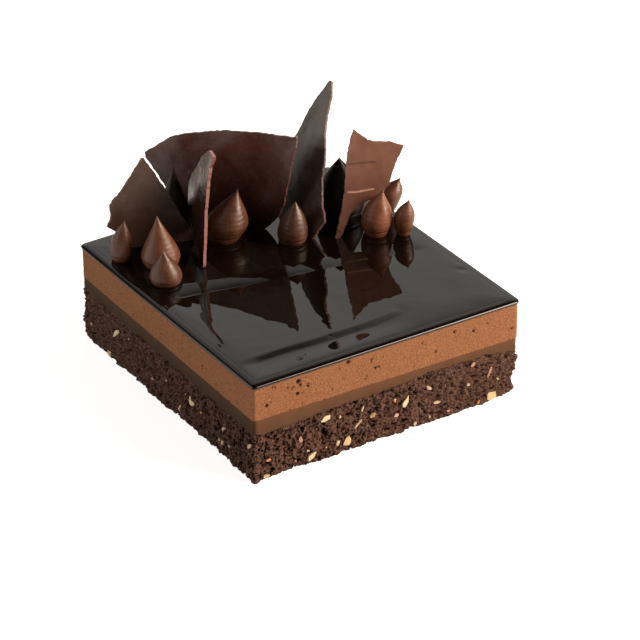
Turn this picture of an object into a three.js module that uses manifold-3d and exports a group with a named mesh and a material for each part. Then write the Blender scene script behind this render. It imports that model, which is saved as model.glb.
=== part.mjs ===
// A rectangular chocolate mousse cake, built up in layers: a nut brownie, a
// dark cremeux, a milk chocolate mousse and a black mirror glaze. Thin snapped
// chocolate shards and piped ganache kisses stand along its back corner.
// Millimetres, +Z up, the origin at the middle of the flat underside. The
// front face looks towards -Y and the left face towards -X.

import * as THREE from 'three';
import Module from 'manifold-3d';

const wasm = await Module();
wasm.setup();

// ---------------------------------------------------------------- sizes

const WIDTH = 152;                   // front face, along x
const DEPTH = 165;                   // left face, along y
const BACK_SKEW = 5;                 // the knife ran out by this much at the back right
const CORNER_RADII = [1.2, 3, 4, 2.5]; // front left, front right, back right, back left
const CORNER_STEPS = 3;              // facets round one corner
const SIDE_STEP = 3.3;               // length of one facet along a side of the brownie
const SMOOTH_STEP = 8;               // the same on the smooth layers above

const MOUSSE_TOP = 50.6;
const MOUSSE_FOOT = 33.2;            // underside of the mousse at the cake's middle
const MOUSSE_FOOT_SLOPE = [-0.0127, 0.0079]; // its rise per mm along x and y
const MOUSSE_WAVE = 0.2;             // how far its cut sides wander in and out
const MOUSSE_WAVELENGTH = 20;
const GLAZE_THICKNESS = 2.2;
const GLAZE_TOP = MOUSSE_TOP + GLAZE_THICKNESS;
const LAYER_GAP = 0.05;              // between two faces that lie on each other
const ROUGH_GAP = 0.3;               // between the brownie and the cremeux on its crumb

// Thickness of the cremeux at even steps along each side, from corner to corner.
const CREMEUX_AT_SIDES = [
  [7.8, 8.6, 7.2, 6.3, 6, 5.2, 3.6, 4.2, 4.4, 7.8], // front
  [7.8, 6.2, 7.1, 5.6, 6.6, 7.4],    // right
  [7.4, 6.3, 7.6, 6.8, 6.1, 7],      // back
  [7, 7.5, 8, 7.4, 8.2, 7.6, 7.8],   // left
];
const CREMEUX_MIDDLE = 7;            // the same inside the cake
const CREMEUX_INSET = 0.4;           // its cut sides stand back from the mousse
const RIM_WIDTH = 8;                 // how far in the uneven line reaches

const BROWNIE_ROWS = 7;              // facets up a side of the brownie
const CRAG_SIZE = 6.5;               // mm between the larger lumps of the crumb
const CRAG_DEPTH = 1.1;
const CRUMB_SIZE = 2.9;              // mm between the smaller ones
const CRUMB_DEPTH = 0.9;
const RAGGED_TOP = 0.7;              // how far the brownie's top line jumps
const FOOT_BULGE = 1.6;              // the soft base leans out by this much
const FOOT_ROUND = 1.2;              // and its lower edge is rubbed off
const WORN_CORNERS = [-2, 0.6, 3, -0.5]; // worn off the foot at each corner, or swollen if below 0
const WORN_REACH = 26;               // how far along the sides that wear runs

const NUT_PROUD = 0.5;               // how far a nut stands out of the crumb
const NUT_THICKNESS = 2.4;
const HIDDEN_NUTS = 11;              // on each of the two sides at the back
const NUT_LENGTHS = [1.8, 5.2];
const NUT_HEIGHTS = [4, 20];         // of the hidden ones, above the foot
const NUT_SLIMNESS = [0.4, 0.75];    // their width over their length
const NUT_DENTS = [0.85, 1.15];      // how far a chip's corners stray from its size

// Nuts on the front face: x, height, length, width, tilt in degrees.
const FRONT_NUTS = [
  [-35.4, 22.3, 6, 2.8, 10], [-69, 2.4, 3.6, 2.3, 8], [-67.8, 10.2, 2.6, 1.9, 0],
  [-49.4, 15.9, 3, 2.2, 80], [-43.8, 4.6, 5.4, 3, 35], [-29.1, 6.6, 3, 2.4, 75],
  [-24, 6, 5.6, 4, 62], [-17.8, 13.4, 5, 1.7, 45], [-14.4, 20.4, 3, 1.4, 80],
  [-8.9, 15.5, 2.5, 2, 60], [3.8, 10.8, 2.8, 2.2, 35], [8.7, 17.4, 5.8, 3, 62],
  [28, 10.2, 4, 1.5, -6], [23, 20, 3.3, 1.9, -50], [49, 24.6, 3.2, 2, 10],
  [45.6, 14.4, 2, 1.5, 0], [58, 17.8, 5.2, 1.8, 65], [59.4, 4.6, 6.4, 4.8, 18],
  [13.8, 3.4, 2.2, 1.8, 20],
];

// Nuts on the left face: y, height, length, width, tilt in degrees.
const LEFT_NUTS = [
  [46, 18.2, 8, 2.5, 47], [54, 3.6, 4.4, 3, 57], [-24, 15, 5, 4.4, 30],
  [-15.1, 7.8, 6.3, 1.6, 54], [-55.5, 16.2, 3.2, 1.5, 60], [-54.4, 8, 3.4, 1.5, 65],
  [-78.5, 18.8, 4.4, 1.8, 54], [10, 11, 2.4, 1.8, 20], [70, 12, 2.2, 1.7, 40],
];

// Kisses: x, y, radius, height, the widest ring's share of that height, how
// square the shoulder above it is, how hollow the tip is, how far the tip is
// pulled to the viewer's right, and how late on the way up it bends there.
const KISSES = [
  [-66.9, 56.8, 5.7, 21.9, 0.24, 2.2, 1.3, 2, 2],
  [-52.6, 42.4, 9.9, 26.8, 0.17, 1.3, 1.2, -1.4, 2],
  [-59.9, 24.8, 8.1, 18, 0.2, 1.8, 1.4, -1.2, 2],
  [-30, 68.6, 8.9, 36.5, 0.16, 1.6, 1.3, 0.8, 2],
  [-13, 47.9, 10.7, 28.1, 0.33, 1.6, 1.35, 7.4, 1.5],
  [14.4, 27, 7.6, 22.5, 0.2, 2.2, 1.2, 1.8, 2],
  [54.6, 11.4, 7.9, 25.3, 0.31, 2.2, 1.6, 3.4, 3],
  [71, 26.1, 6.4, 20.9, 0.56, 2, 1.8, 6.9, 3],
  [65.5, 3.2, 5.2, 20, 0.43, 2.6, 1.8, 2.8, 3],
  [50.5, 38.6, 12, 32.3, 0.2, 2.2, 1.15, -0.5, 2],
];
const TIP_DIRECTION = [0.842, -0.54]; // the way the piping bag was drawn off
const KISS_SIDES = 16;
const KISS_TIP = 0.12;               // radius of the flat end of the tip
const RINGS_BELOW = [0, 0.35, 0.7];  // heights of the rings, up to the widest one
const RINGS_ABOVE = [0, 0.2, 0.4, 0.6, 0.78, 0.92]; // and from it to the tip

// Shards: each is outlined by four edges in its own plane, in pairs of
// [along, up] from the point where it stands in the glaze. turn is the heading
// of its "along" axis, lean tips its top away from the viewer, and bow is the
// sagitta per mm squared that its sheet is curved by, about `bow_at`.
const SHARD_THICKNESS = 1.5;
const SHARDS = [
  {
    stands_at: [-47.7, 61.8], turn: -19, lean: 6, bow: -0.0012, bow_at: 0,
    bottom: [[-7, -1], [22, -1]],
    right: [[22, -1], [22.4, 3.7], [8.5, 30.6], [-1, 47]],
    top: [[-2, 47], [-1, 47]],
    left: [[-7, -1], [-16.6, 9.3], [-21.2, 12.7], [-19.1, 16.4], [-19.4, 23],
      [-18, 26], [-13.4, 30.5], [-2, 47]],
  },
  {
    stands_at: [-1.1, 61.5], turn: -56, lean: 5, bow: 0.0018, bow_at: 0,
    bottom: [[-23, -1], [18, -1]],
    right: [[18, -1], [23.6, 4.4], [27.5, 9.4], [30.3, 16.3], [33.2, 32],
      [34.2, 40.5], [36.3, 48.3], [36.3, 55]],
    top: [[-46.5, 30.7], [-41.7, 34.3], [-33.5, 40.9], [-28.3, 43.1], [-15, 46.7],
      [-3.8, 49.3], [16, 51.9], [33.3, 53.3], [36.3, 55]],
    left: [[-23, -1], [-35.8, 14.7], [-45.4, 27.6], [-46.5, 30.7]],
  },
  {
    stands_at: [-36.4, 28.6], turn: -109.7, lean: 9, bow: 0.0008, bow_at: 0,
    bottom: [[-2.4, -1], [1.6, -1]],
    right: [[1.6, -1], [2.1, 1.7], [-3.8, 12.8], [-10.7, 26.2], [-13, 38.8], [-13, 47.8], [-9.8, 55.3]],
    top: [[-25.6, 49.6], [-19.1, 54.4], [-9.8, 55.3]],
    left: [[-2.4, -1], [-10.9, 3.5], [-19.2, 7.6], [-30.8, 9.4], [-39.5, 13.7], [-44, 21.2],
      [-43.7, 25.5], [-41.5, 30.6], [-34.7, 38.2], [-31, 44.4], [-25.6, 49.6]],
  },
  {
    stands_at: [23, 24.4], turn: -72.7, lean: 26, bow: -0.004, bow_at: 0,
    bottom: [[-14, -1], [1.2, -1]],
    right: [[1.2, -1], [6.3, 11.3], [1.7, 18.7], [-3.1, 31.6], [-4.5, 40], [-9, 52.3],
      [-11.2, 62.1], [-12, 70.9], [-14.4, 78.1]],
    top: [[-16, 78.6], [-14.4, 78.1]],
    left: [[-14, -1], [-20, 1.7], [-24.7, 5.6], [-27.5, 11.1], [-28.7, 18.2], [-29.2, 26.5],
      [-28.8, 34.6], [-28.6, 44.2], [-26.5, 51.1], [-24.2, 60.8], [-20.6, 69.6], [-16, 78.6]],
  },
  {
    stands_at: [34.5, 17.6], turn: -11.7, lean: 12, bow: 0.002, bow_at: 10,
    bottom: [[-1, -1], [1.4, -1]],
    right: [[1.4, -1], [4.7, 4.3], [8.7, 11.8], [12.5, 14.9], [17.4, 16.7], [24.4, 17.6],
      [29.7, 23.6], [31.8, 29.3], [35.1, 36.3], [38.8, 42.4]],
    top: [[14, 54.4], [16.9, 51.6], [20.9, 47.9], [24.6, 46.6], [32, 45.6], [38.8, 42.4]],
    left: [[-1, -1], [3.9, 12.9], [6.7, 24], [8.1, 35.5], [9.6, 43], [12.2, 50.9], [14, 54.4]],
  },
];
const SHARD_CELLS = [7, 8];          // facets across and up a shard

// ---------------------------------------------------------------- finishes

const finish = (color, roughness) => new THREE.MeshStandardMaterial({ color, roughness, metalness: 0 });
const BROWNIE = finish('#4a3029', 0.85);
const CREMEUX = finish('#5f4334', 0.6);
const MOUSSE = finish('#a9694a', 0.8);
const GLAZE = finish('#0d0807', 0.05);
const GANACHE = finish('#6e4433', 0.45);
const SHARD_CHOCOLATE = finish('#3b2722', 0.35);

// ---------------------------------------------------------------- noise

// A number from 0 to 1 that depends on three whole numbers only.
function scatter(i, j, k) {
  const s = Math.sin(i * 127.1 + j * 311.7 + k * 74.7) * 43758.5453;
  return s - Math.floor(s);
}

// Smooth noise from -1 to 1: scatter() at the corners of unit cells, eased between.
function noise(x, y, z) {
  const [i, j, k] = [x, y, z].map(Math.floor);
  const [u, v, w] = [x - i, y - j, z - k].map((t) => t * t * (3 - 2 * t));
  const edge = (b, c) => THREE.MathUtils.lerp(scatter(i, j + b, k + c), scatter(i + 1, j + b, k + c), u);
  const face = (c) => THREE.MathUtils.lerp(edge(0, c), edge(1, c), v);
  return THREE.MathUtils.lerp(face(0), face(1), w) * 2 - 1;
}

// ---------------------------------------------------------------- outline

const SIDES = 4;
const corners = [
  new THREE.Vector2(-WIDTH / 2, -DEPTH / 2),
  new THREE.Vector2(WIDTH / 2, -DEPTH / 2),
  new THREE.Vector2(WIDTH / 2, DEPTH / 2 + BACK_SKEW),
  new THREE.Vector2(-WIDTH / 2, DEPTH / 2),
];
const sides = corners.map((start, k) => {
  const run = corners[(k + 1) % SIDES].clone().sub(start);
  const along = run.clone().normalize();
  return { start, along, length: run.length(), out: new THREE.Vector2(along.y, -along.x) };
});

// The cake's outline as points that carry their side, the share of it passed
// and the direction that faces out. Corners are arcs of CORNER_RADII.
function outline(step) {
  const points = [];
  sides.forEach((side, k) => {
    const before = sides[(k + SIDES - 1) % SIDES];
    const radius = CORNER_RADII[k];
    const next = CORNER_RADII[(k + 1) % SIDES];
    const centre = side.start.clone().addScaledVector(side.out, -radius).addScaledVector(before.out, -radius);
    for (let i = 1; i < CORNER_STEPS; i += 1) {
      const out = before.out.clone().lerp(side.out, i / CORNER_STEPS).normalize();
      points.push({ at: centre.clone().addScaledVector(out, radius), out, side: k, share: 0 });
    }
    const straight = side.length - radius - next;
    const count = Math.round(straight / step);
    for (let i = 0; i <= count; i += 1) {
      const passed = radius + (straight * i) / count;
      const at = side.start.clone().addScaledVector(side.along, passed);
      points.push({ at, out: side.out, side: k, share: passed / side.length });
    }
  });
  return points;
}

const mousseFoot = (at) => MOUSSE_FOOT + MOUSSE_FOOT_SLOPE[0] * at.x + MOUSSE_FOOT_SLOPE[1] * at.y;

// The brownie's top line at a point of the outline: the underside of the mousse
// less the cremeux there, and a ragged jump.
function brownieTop(point) {
  const list = CREMEUX_AT_SIDES[point.side];
  const place = point.share * (list.length - 1);
  const low = Math.min(Math.floor(place), list.length - 2);
  const thickness = THREE.MathUtils.lerp(list[low], list[low + 1], place - low);
  const ragged = RAGGED_TOP * noise(point.at.x / CRUMB_SIZE, point.at.y / CRUMB_SIZE, 40);
  return mousseFoot(point.at) - thickness + ragged;
}

// ---------------------------------------------------------------- solids

// A closed surface through a stack of rings, lowest first, each with the same
// number of points anticlockwise seen from above. Every four-sided cell is split
// along its shorter diagonal, and both ends are fanned shut.
function stack(rings) {
  const size = rings[0].length;
  const middle = (ring) => ring.reduce((sum, p) => sum.add(p), new THREE.Vector3()).divideScalar(size);
  const points = [...rings.flat(), middle(rings[0]), middle(rings[rings.length - 1])];
  const bottom = points.length - 2;
  const top = points.length - 1;
  const triangles = [];
  for (let i = 0; i < size; i += 1) {
    const n = (i + 1) % size;
    triangles.push(bottom, n, i);
    for (let r = 0; r < rings.length - 1; r += 1) {
      const low = r * size;
      const high = low + size;
      const [a, b, c, d] = [low + i, low + n, high + n, high + i];
      const rising = points[a].distanceTo(points[c]) < points[b].distanceTo(points[d]);
      triangles.push(...(rising ? [a, b, c, a, c, d] : [a, b, d, b, c, d]));
    }
    const last = (rings.length - 1) * size;
    triangles.push(top, last + i, last + n);
  }
  return meshed(points, triangles);
}

function meshed(points, triangles) {
  const geometry = new THREE.BufferGeometry().setFromPoints(points);
  geometry.setIndex(triangles);
  return geometry;
}

const toSolid = (geometry) => new wasm.Manifold(new wasm.Mesh({
  numProp: 3,
  vertProperties: new Float32Array(geometry.getAttribute('position').array),
  triVerts: new Uint32Array(geometry.getIndex().array),
}));

function toGeometry(solid) {
  const { vertProperties, triVerts } = solid.getMesh();
  const geometry = new THREE.BufferGeometry();
  geometry.setAttribute('position', new THREE.BufferAttribute(vertProperties, 3));
  geometry.setIndex(new THREE.BufferAttribute(triVerts, 1));
  return geometry;
}

// A point of the outline moved out by a distance, by stretching the whole outline
// about its middle, which never folds a corner over itself.
const pushed = (point, out, z) => new THREE.Vector3(
  point.at.x * (1 + (2 * out) / WIDTH), point.at.y * (1 + (2 * out) / DEPTH), z);

// How far the brownie's foot is worn back at a point of the outline.
function wear(point) {
  let total = 0;
  corners.forEach((corner, k) => {
    const near = 1 - corner.distanceTo(point.at) / WORN_REACH;
    total += WORN_CORNERS[k] * Math.max(0, near);
  });
  return total;
}

// How far in from the outline the line between brownie and cremeux was cut.
const cutLine = (point) => MOUSSE_WAVE * noise(point.at.x / CRAG_SIZE, point.at.y / CRAG_SIZE, 12)
  - CREMEUX_INSET;

// Relief of the brownie's side: lumps of two sizes, a soft bulge towards the
// foot, a rubbed lower edge and worn corners.
function crumb(point, z, height) {
  const lumps = (size, depth, seed) => depth * noise(point.at.x / size + seed, point.at.y / size, z / size);
  const low = 1 - z / height;
  const middle = Math.sin(Math.PI * point.share) ** 0.5;
  const foot = wear(point) * low ** 3 + (z === 0 ? FOOT_ROUND : 0);
  return lumps(CRAG_SIZE, CRAG_DEPTH, 3) + lumps(CRUMB_SIZE, CRUMB_DEPTH, 9)
    + FOOT_BULGE * middle * low - foot - CRUMB_DEPTH / 2;
}

// One chip of nut: an icosahedron stretched to its size and dented.
function nutChip(centre, along, out, length, width, seed) {
  const chip = new THREE.IcosahedronGeometry(0.5, 0);
  chip.deleteAttribute('normal');
  chip.deleteAttribute('uv');
  const across = new THREE.Vector3().crossVectors(out, along);
  const corner = new THREE.Vector3();
  const place = chip.getAttribute('position');
  for (let i = 0; i < place.count; i += 1) {
    corner.fromBufferAttribute(place, i);
    const key = Math.round(corner.x * 50) * 7 + Math.round(corner.y * 50) * 3 + Math.round(corner.z * 50);
    const size = THREE.MathUtils.lerp(...NUT_DENTS, scatter(key, seed, 5));
    const [a, b, c] = [corner.x * length, corner.y * width, corner.z * NUT_THICKNESS].map((v) => v * size);
    corner.copy(centre).addScaledVector(along, a).addScaledVector(across, b).addScaledVector(out, c);
    place.setXYZ(i, corner.x, corner.y, corner.z);
  }
  return weld(chip);
}

// Shares the corners that lie on one spot.
function weld(geometry) {
  const place = geometry.getAttribute('position');
  const points = [];
  const seen = new Map();
  const triangles = [];
  for (let i = 0; i < place.count; i += 1) {
    const point = new THREE.Vector3().fromBufferAttribute(place, i);
    const key = point.toArray().map((v) => Math.round(v * 1000)).join();
    if (!seen.has(key)) seen.set(key, points.push(point) - 1);
    triangles.push(seen.get(key));
  }
  return meshed(points, triangles);
}

// Every nut as [side, distance along it from its start, height, length, width, tilt].
function allNuts() {
  const front = FRONT_NUTS.map(([x, ...rest]) => [0, x + WIDTH / 2, ...rest]);
  const left = LEFT_NUTS.map(([y, ...rest]) => [3, DEPTH / 2 - y, ...rest]);
  const hidden = [1, 2].flatMap((side) => Array.from({ length: HIDDEN_NUTS }, (_, i) => {
    const draw = (k) => scatter(i, side, k);
    const length = THREE.MathUtils.lerp(...NUT_LENGTHS, draw(1) ** 2);
    const passed = (sides[side].length * (i + 0.3 + 0.4 * draw(2))) / HIDDEN_NUTS;
    const up = THREE.MathUtils.lerp(...NUT_HEIGHTS, draw(3));
    return [side, passed, up, length, length * THREE.MathUtils.lerp(...NUT_SLIMNESS, draw(4)), 150 * draw(5)];
  }));
  return [...front, ...left, ...hidden];
}

function brownie() {
  const points = outline(SIDE_STEP);
  const rings = [];
  for (let row = 0; row <= BROWNIE_ROWS; row += 1) {
    rings.push(points.map((point) => {
      const height = brownieTop(point);
      const z = (height * row) / BROWNIE_ROWS;
      return pushed(point, row < BROWNIE_ROWS ? crumb(point, z, height) : cutLine(point), z);
    }));
  }
  rings.push(points.map((point) => pushed(point, -RIM_WIDTH, mousseFoot(point.at) - CREMEUX_MIDDLE)));
  let solid = toSolid(stack(rings));
  allNuts().forEach(([k, passed, height, length, width, tilt], i) => {
    const side = sides[k];
    const at = side.start.clone().addScaledVector(side.along, passed);
    const point = { at, out: side.out, side: k, share: passed / side.length };
    const proud = crumb(point, height, brownieTop(point)) + NUT_PROUD - NUT_THICKNESS / 2;
    const along = new THREE.Vector3(side.along.x, side.along.y, 0);
    const out = new THREE.Vector3(side.out.x, side.out.y, 0);
    along.applyAxisAngle(out, THREE.MathUtils.degToRad(-tilt));
    solid = solid.add(toSolid(nutChip(pushed(point, proud, height), along, out, length, width, i)));
  });
  return toGeometry(solid);
}

function cremeux() {
  const points = outline(SIDE_STEP);
  return stack([
    points.map((point) => pushed(point, -RIM_WIDTH, mousseFoot(point.at) - CREMEUX_MIDDLE + ROUGH_GAP)),
    points.map((point) => pushed(point, cutLine(point), brownieTop(point) + ROUGH_GAP)),
    points.map((point) => pushed(point, cutLine(point), mousseFoot(point.at) - LAYER_GAP)),
  ]);
}

function mousse() {
  const points = outline(SMOOTH_STEP);
  const wave = (point, z) => MOUSSE_WAVE
    * noise(...[point.at.x, point.at.y, z].map((v) => v / MOUSSE_WAVELENGTH));
  return stack([0, 0.33, 0.67, 1].map((share) => points.map((point) => {
    const z = THREE.MathUtils.lerp(mousseFoot(point.at), MOUSSE_TOP - LAYER_GAP, share);
    return pushed(point, wave(point, z), z);
  })));
}

// The glaze ran over the top and set with a rounded lip that hangs just proud
// of the cut sides.
const GLAZE_LIP = [[-0.7, 0], [0.3, 0.1], [0.6, 0.35], [0.5, 0.65], [-0.1, 0.88], [-1.2, 0.985], [-2.2, 1]];

function glaze() {
  const points = outline(SMOOTH_STEP);
  return stack(GLAZE_LIP.map(([out, share]) => points.map(
    (point) => pushed(point, out, MOUSSE_TOP + GLAZE_THICKNESS * share))));
}

// A kiss: from a foot that is the narrower the higher its widest ring lies, the
// rings swell by a quarter sine, then round a shoulder and draw in to a hollow
// tip that the piping bag pulled aside.
function kiss([x, y, radius, height, belly, shoulder, hollow, pull, bend]) {
  const spread = (share) => {
    if (share < belly) return radius * (1 - belly * (1 - Math.sin((Math.PI / 2) * (share / belly))));
    return radius * (1 - ((share - belly) / (1 - belly)) ** shoulder) ** hollow;
  };
  const ring = (share, wide) => Array.from({ length: KISS_SIDES }, (_, i) => {
    const turn = (2 * Math.PI * i) / KISS_SIDES;
    const aside = pull * share ** bend;
    return new THREE.Vector3(
      x + TIP_DIRECTION[0] * aside + wide * Math.cos(turn),
      y + TIP_DIRECTION[1] * aside + wide * Math.sin(turn),
      GLAZE_TOP + height * share);
  });
  const below = RINGS_BELOW.map((part) => belly * part);
  const above = RINGS_ABOVE.map((part) => THREE.MathUtils.lerp(belly, 1, part));
  const rings = [...below, ...above].map((share) => ring(share, spread(share)));
  rings.push(ring(1, KISS_TIP));
  return stack(rings);
}

// The point at a share of the way along a list of corners.
function alongEdge(edge, share) {
  const points = edge.map(([a, b]) => new THREE.Vector2(a, b));
  const runs = points.slice(1).map((point, i) => point.distanceTo(points[i]));
  let rest = share * runs.reduce((sum, run) => sum + run, 0);
  let i = 0;
  while (i < runs.length - 1 && rest > runs[i]) {
    rest -= runs[i];
    i += 1;
  }
  return points[i].clone().lerp(points[i + 1], Math.min(rest / runs[i], 1));
}

// A shard's sheet: a patch stretched between its four edges, bowed, given a
// thickness, stood up and cut off level with the glaze.
function shard({ stands_at, turn, lean, bow, bow_at, bottom, right, top, left }) {
  const [across, up] = SHARD_CELLS;
  const stand = new THREE.Matrix4().makeTranslation(stands_at[0], stands_at[1], GLAZE_TOP)
    .multiply(new THREE.Matrix4().makeRotationZ(THREE.MathUtils.degToRad(turn)))
    .multiply(new THREE.Matrix4().makeRotationX(THREE.MathUtils.degToRad(-lean)));
  const ends = [[bottom[0], bottom.at(-1)], [top[0], top.at(-1)]]
    .map((pair) => pair.map(([a, b]) => new THREE.Vector2(a, b)));
  const patch = (u, v) => {
    const rows = alongEdge(bottom, u).lerp(alongEdge(top, u), v);
    const columns = alongEdge(left, v).lerp(alongEdge(right, v), u);
    const flat = ends[0][0].clone().lerp(ends[0][1], u).lerp(ends[1][0].clone().lerp(ends[1][1], u), v);
    return rows.add(columns).sub(flat);
  };
  const layer = (offset) => Array.from({ length: (across + 1) * (up + 1) }, (_, n) => {
    const { x, y } = patch((n % (across + 1)) / across, Math.floor(n / (across + 1)) / up);
    const depth = offset - bow * ((x - bow_at) ** 2 - bow_at ** 2);
    return new THREE.Vector3(x, depth, y).applyMatrix4(stand);
  });
  const points = [...layer(-SHARD_THICKNESS / 2), ...layer(SHARD_THICKNESS / 2)];
  const half = points.length / 2;
  const triangles = [];
  const quad = (a, b, c, d) => triangles.push(a, b, c, a, c, d);
  const at = (i, j) => j * (across + 1) + i;
  for (let j = 0; j < up; j += 1) {
    for (let i = 0; i < across; i += 1) {
      const [a, b, c, d] = [at(i, j), at(i + 1, j), at(i + 1, j + 1), at(i, j + 1)];
      quad(a, b, c, d);
      quad(half + a, half + d, half + c, half + b);
    }
    quad(at(0, j), at(0, j + 1), half + at(0, j + 1), half + at(0, j));
    quad(at(across, j), half + at(across, j), half + at(across, j + 1), at(across, j + 1));
  }
  for (let i = 0; i < across; i += 1) {
    quad(at(i, 0), half + at(i, 0), half + at(i + 1, 0), at(i + 1, 0));
    quad(at(i, up), at(i + 1, up), half + at(i + 1, up), half + at(i, up));
  }
  const below = new THREE.BoxGeometry(2 * WIDTH, 2 * DEPTH, GLAZE_TOP).toNonIndexed();
  below.deleteAttribute('normal');
  below.deleteAttribute('uv');
  below.translate(0, 0, GLAZE_TOP / 2 + LAYER_GAP);
  return toGeometry(toSolid(meshed(points, triangles)).subtract(toSolid(weld(below))));
}

// ---------------------------------------------------------------- the cake

const cake = new THREE.Group();

function place(name, geometry, material) {
  const mesh = new THREE.Mesh(geometry, material);
  mesh.name = name;
  cake.add(mesh);
}

place('brownie_base', brownie(), BROWNIE);
place('cremeux_layer', cremeux(), CREMEUX);
place('mousse_layer', mousse(), MOUSSE);
place('mirror_glaze', glaze(), GLAZE);
KISSES.forEach((one, i) => place(`kiss_${i + 1}`, kiss(one), GANACHE));
SHARDS.forEach((one, i) => place(`shard_${i + 1}`, shard(one), SHARD_CHOCOLATE));

export default cake;
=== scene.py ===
import math
from types import SimpleNamespace

import bpy
import numpy as np
from mathutils import Matrix


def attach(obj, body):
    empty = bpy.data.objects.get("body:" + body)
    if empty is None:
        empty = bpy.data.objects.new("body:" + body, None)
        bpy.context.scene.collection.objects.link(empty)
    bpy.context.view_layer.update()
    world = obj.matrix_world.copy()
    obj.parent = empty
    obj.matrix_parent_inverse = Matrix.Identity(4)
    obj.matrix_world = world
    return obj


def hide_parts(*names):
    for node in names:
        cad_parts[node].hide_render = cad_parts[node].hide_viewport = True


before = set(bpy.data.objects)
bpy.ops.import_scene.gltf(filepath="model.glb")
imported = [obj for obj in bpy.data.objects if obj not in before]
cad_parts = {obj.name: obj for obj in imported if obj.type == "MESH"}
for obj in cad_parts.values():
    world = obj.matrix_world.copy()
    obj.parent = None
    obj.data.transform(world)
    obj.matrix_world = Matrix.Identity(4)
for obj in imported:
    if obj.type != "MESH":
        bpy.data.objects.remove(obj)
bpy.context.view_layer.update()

# ---------------------------------------------------------------- brownie base
# The base is a dense nut brownie, baked in a sheet and cut with a long knife
# once the cake had set. The knife tore its pores open and left a ragged top
# line, and the soft foot bulged out a little under the weight.

MM = 0.001
WIDTH, DEPTH, BACK_SKEW = 152.0, 165.0, 5.0
CORNER_RADII = (1.2, 3.0, 4.0, 2.5)      # front left, front right, back right, back left
FINE_STEP = 0.5                          # between two points of a cut side, about one pixel

MOUSSE_FOOT = 33.2                       # underside of the mousse at the cake's middle
MOUSSE_FOOT_SLOPE = (-0.0127, 0.0079)
CREMEUX_AT_SIDES = (                     # its thickness at even steps, corner to corner
    (7.8, 8.6, 7.2, 6.3, 6.0, 5.2, 3.6, 4.2, 4.4, 7.8),
    (7.8, 6.2, 7.1, 5.6, 6.6, 7.4),
    (7.4, 6.3, 7.6, 6.8, 6.1, 7.0),
    (7.0, 7.5, 8.0, 7.4, 8.2, 7.6, 7.8),
)
RIM_WIDTH = 8.0                          # how far in the uneven line reaches
CREMEUX_MIDDLE = 7.0

CRAG_SIZE, CRAG_DEPTH = 6.5, 1.1         # the larger lumps of the crumb
CRUMB_SIZE, CRUMB_DEPTH = 2.9, 0.9       # the smaller ones
GRAIN_SIZES = (1.5, 0.8)                 # torn crumb, finer than the solids show
GRAIN_DEPTHS = (0.42, 0.26)
RAGGED_TOP = 0.7                         # how far the top line jumps up and down
FOOT_BULGE = 1.6
FOOT_ROUND, FOOT_ROUND_HEIGHT = 1.2, 3.0   # the rubbed lower edge
WORN_CORNERS, WORN_REACH = (-2.0, 0.6, 3.0, -0.5), 26.0   # how far worn back each is at the foot
PORES = ((2.8, 1.3, 1.5, 21), (1.5, 0.8, 1.0, 31))   # cell, largest radius, depth, seed
PORE_WALL = 1.7                          # how steeply a pore falls in
PORE_SHADING, PORE_SHADE_START = 2.6, 0.65         # painted shade in the pores: how fast it darkens with a pore's depth, and how much of the depth stays unshaded
TUCK = 0.8                               # how far in under the cremeux the brownie's top edge ends


def scatter(i, j, k):
    """A number from 0 to 1 for three whole numbers: what is left after the point of a large sine."""
    s = np.sin(i * 127.1 + j * 311.7 + k * 74.7) * 43758.5453
    return s - np.floor(s)


def noise(x, y, z):
    """Smooth noise from -1 to 1: scatter() at the eight corners of a unit cell, eased between them."""
    low = [np.floor(v) for v in (x, y, z)]
    u, v, w = [(p - f) ** 2 * (3 - 2 * (p - f)) for p, f in zip((x, y, z), low)]
    total = 0.0
    for a, b, c in np.ndindex(2, 2, 2):
        share = (u if a else 1 - u) * (v if b else 1 - v) * (w if c else 1 - w)
        total = total + share * scatter(low[0] + a, low[1] + b, low[2] + c)
    return total * 2 - 1


def cut_outline(step):
    """The outline that the knife cut: four straight sides joined by arcs of CORNER_RADII, walked
    anticlockwise from the front left corner. Gives x, y, the side, the share of it passed and the
    distance run, one array each, at steps as near to `step` as each stretch allows."""
    far_right = (WIDTH, DEPTH + 2 * BACK_SKEW)
    corners = np.array([(-WIDTH, -DEPTH), (WIDTH, -DEPTH), far_right, (-WIDTH, DEPTH)]) / 2
    runs = np.roll(corners, -1, 0) - corners
    lengths = np.hypot(*runs.T)
    along = runs / lengths[:, None]
    out = np.stack([along[:, 1], -along[:, 0]], 1)
    stretches = []
    for k, radius in enumerate(CORNER_RADII):
        following = CORNER_RADII[(k + 1) % 4]
        bends = max(2, math.ceil(radius * 1.6 / step))
        turned = np.linspace(0, 1, bends, endpoint=False)[1:, None]
        normal = out[k - 1] * (1 - turned) + out[k] * turned
        normal /= np.hypot(*normal.T)[:, None]
        centre = corners[k] - radius * (out[k] + out[k - 1])
        arc = centre + radius * normal
        steps = round((lengths[k] - radius - following) / step)
        passed = np.linspace(radius, lengths[k] - following, steps + 1)
        straight = corners[k] + along[k] * passed[:, None]
        share = np.concatenate([np.zeros(len(arc)), passed / lengths[k]])
        stretches.append((np.concatenate([arc, straight]), np.full(len(share), k), share))
    points, side, share = (np.concatenate(parts) for parts in zip(*stretches))
    hops = np.hypot(*(np.roll(points, -1, 0) - points).T)
    run = np.concatenate([[0], np.cumsum(hops)[:-1]])
    x, y = points.T
    return SimpleNamespace(x=x, y=y, side=side, share=share, run=run, length=hops.sum())


def stretched(edge, out, z):
    """The outline moved out by `out` and lifted to z: the whole outline is stretched about its middle,
    which never folds a corner over itself."""
    x = edge.x * (1 + 2 * out / WIDTH)
    y = edge.y * (1 + 2 * out / DEPTH)
    return np.stack(np.broadcast_arrays(x, y, z), -1)


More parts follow.
